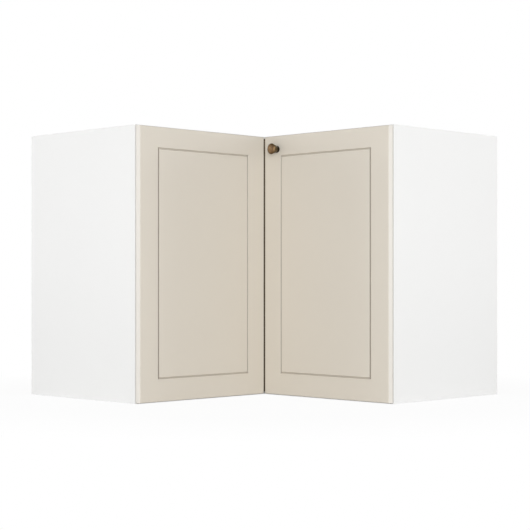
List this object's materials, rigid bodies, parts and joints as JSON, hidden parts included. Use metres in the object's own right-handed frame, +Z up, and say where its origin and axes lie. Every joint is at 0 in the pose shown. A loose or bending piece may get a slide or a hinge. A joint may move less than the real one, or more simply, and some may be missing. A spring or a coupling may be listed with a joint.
{
  "type": "corner base cabinet",
  "caption": "L-shaped kitchen corner base cabinet with plain end panels, an inner shelf and a folding pair of routed doors that meet in the inner corner, with a round knob.",
  "frame": {"origin": "middle of the square footprint that the cabinet covers in the corner of a room, on the underside", "axes": "+Z up; one wall lies behind the cabinet at +Y and the other at -X, so the room's corner is at -X +Y; the right arm runs along +X and its door faces -Y, the left arm runs along -Y and its door faces +X"},
  "size_m": [0.9, 0.9, 0.704],
  "materials": {
    "white_board": "white melamine face, satin",
    "door_board": "warm greige paint, silk matt",
    "thin_board": "white face, matt",
    "antique_bronze": "antique bronze, rubbed, satin",
    "hinge_steel": "nickel plated, satin",
    "screw_steel": "zinc plated",
    "bronzed_steel": "dark bronzed, satin",
    "zinc": "die-cast zinc, dull",
    "plate_steel": "galvanised, satin",
    "beech": "bare beech",
    "clear_pad": "clear soft pad"
  },
  "bodies": {
    "carcass": {"end_panel_right": "white_board", "end_panel_left": "white_board", "bottom_board": "white_board", "front_rail_right": "white_board", "front_rail_left": "white_board", "rear_rail_right": "white_board", "rear_rail_left": "white_board", "rear_post": "white_board", "back_panel_right": "thin_board", "back_panel_left": "thin_board", "shelf": "white_board", "shelf_pins": "screw_steel", "cams": "zinc", "cam_bolts": "screw_steel", "dowels": "beech", "corner_plate": "plate_steel", "corner_plate_screws": "screw_steel", "hinge_mounting_plates": "zinc", "hinge_plate_screws": "screw_steel", "hinge_arms": "hinge_steel", "hinge_arm_screws": "screw_steel", "hinge_arm_rivets": "screw_steel"},
    "door_right": {"door_right": "door_board", "knob": "antique_bronze", "knob_screw": "screw_steel", "hinge_cups": "hinge_steel", "hinge_cup_pins": "screw_steel", "hinge_cup_screws": "screw_steel", "fold_leaf_right": "bronzed_steel", "fold_pin": "bronzed_steel", "fold_screws_right": "bronzed_steel", "bumpers_right": "clear_pad"},
    "door_left": {"door_left": "door_board", "fold_leaf_left": "bronzed_steel", "fold_screws_left": "bronzed_steel", "bumpers_left": "clear_pad"},
    "hinge_cranks": {"hinge_cranks": "hinge_steel", "hinge_crank_pins": "screw_steel"},
    "hinge_guide_cranks": {"hinge_guide_cranks": "hinge_steel", "hinge_guide_pins": "screw_steel"},
    "hinge_carriers": {"hinge_carriers": "zinc"},
    "hinge_levers": {"hinge_levers": "zinc"}
  },
  "joints": [
    {"name": "door_swing", "type": "hinge", "parent": "carcass", "child": "door_right", "pos_m": [0.448, -0.0085, 0], "axis": [0, 0, 1], "range_deg": [0, 110]},
    {"name": "door_fold", "type": "hinge", "parent": "door_right", "child": "door_left", "pos_m": [0, 0, 0], "axis": [0, 0, 1], "range_deg": [-88, 0]},
    {"name": "crank_turn", "type": "hinge", "parent": "carcass", "child": "hinge_cranks", "pos_m": [0.4185, 0.009, 0], "axis": [0, 0, 1], "range_deg": [0, 110]},
    {"name": "guide_crank_turn", "type": "hinge", "parent": "carcass", "child": "hinge_guide_cranks", "pos_m": [0.41591, 0.01866, 0], "axis": [0, 0, 1], "range_deg": [0, 110]},
    {"name": "carrier_turn", "type": "hinge", "parent": "hinge_cranks", "child": "hinge_carriers", "pos_m": [0.404, 0.0215, 0], "axis": [0, 0, 1], "range_deg": [-110, 0]},
    {"name": "lever_turn", "type": "hinge", "parent": "hinge_cranks", "child": "hinge_levers", "pos_m": [0.39401, 0.02098, 0], "axis": [0, 0, 1], "range_deg": [-110, 0]}
  ],
  "couplings": [
    {"joint": "door_fold", "follows": "door_swing", "ratio": -0.8},
    {"joint": "crank_turn", "follows": "door_swing", "ratio": 1},
    {"joint": "guide_crank_turn", "follows": "door_swing", "ratio": 1},
    {"joint": "carrier_turn", "follows": "door_swing", "ratio": -1},
    {"joint": "lever_turn", "follows": "door_swing", "ratio": -1}
  ]
}
